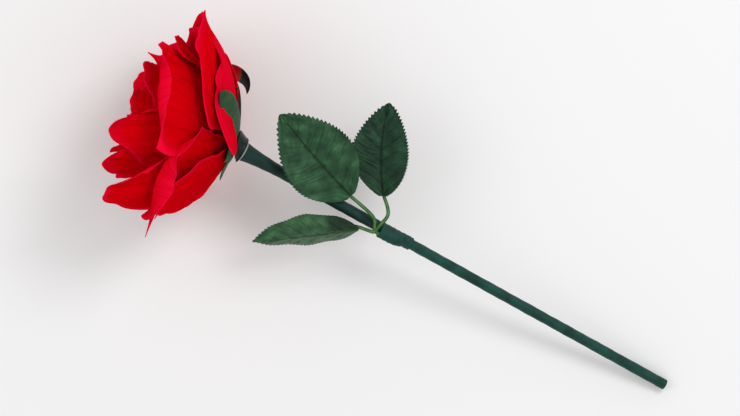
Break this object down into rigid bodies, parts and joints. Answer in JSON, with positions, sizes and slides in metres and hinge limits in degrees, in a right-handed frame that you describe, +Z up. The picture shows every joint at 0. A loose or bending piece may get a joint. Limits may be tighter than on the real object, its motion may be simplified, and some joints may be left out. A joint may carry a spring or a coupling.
{
  "type": "artificial rose",
  "caption": "Artificial rose with layered red petals, three serrated leaves and a long taped stem, lying on its side.",
  "frame": {"origin": "on the table, under the middle of the part's box", "axes": "+X along the stem from the flower to its cut foot, +Z up from the table it lies on"},
  "size_m": [0.3548, 0.134, 0.1152],
  "materials": {
    "red_petal": "matte stretched crepe",
    "green_leaf_cloth": "pressed, matte",
    "green_stalk_plastic": "moulded, satin",
    "dark_collar_plastic": "satin",
    "green_stem_tape": "stretched tape, matte",
    "rod_plastic": "cut end",
    "hip_plastic": "moulded"
  },
  "bodies": {
    "root": {"bud_roll": "red_petal", "calyx": "green_leaf_cloth", "collar_cup": "dark_collar_plastic", "first_petal_1": "red_petal", "first_petal_2": "red_petal", "first_petal_3": "red_petal", "fourth_petal_1": "red_petal", "fourth_petal_2": "red_petal", "fourth_petal_3": "red_petal", "fourth_petal_4": "red_petal", "fourth_petal_5": "red_petal", "hip": "hip_plastic", "leaf_1": "green_leaf_cloth", "leaf_2": "green_leaf_cloth", "leaf_3": "green_leaf_cloth", "leaf_spray": "green_stalk_plastic", "neck_sleeve": "green_stem_tape", "outer_petal_1": "red_petal", "outer_petal_2": "red_petal", "outer_petal_3": "red_petal", "outer_petal_4": "red_petal", "second_petal_1": "red_petal", "second_petal_2": "red_petal", "second_petal_3": "red_petal", "second_petal_4": "red_petal", "second_petal_5": "red_petal", "stem_binding": "green_stem_tape", "stem_rod": "rod_plastic", "stem_tape": "green_stem_tape", "third_petal_1": "red_petal", "third_petal_2": "red_petal", "third_petal_3": "red_petal", "third_petal_4": "red_petal", "third_petal_5": "red_petal"}
  },
  "joints": []
}
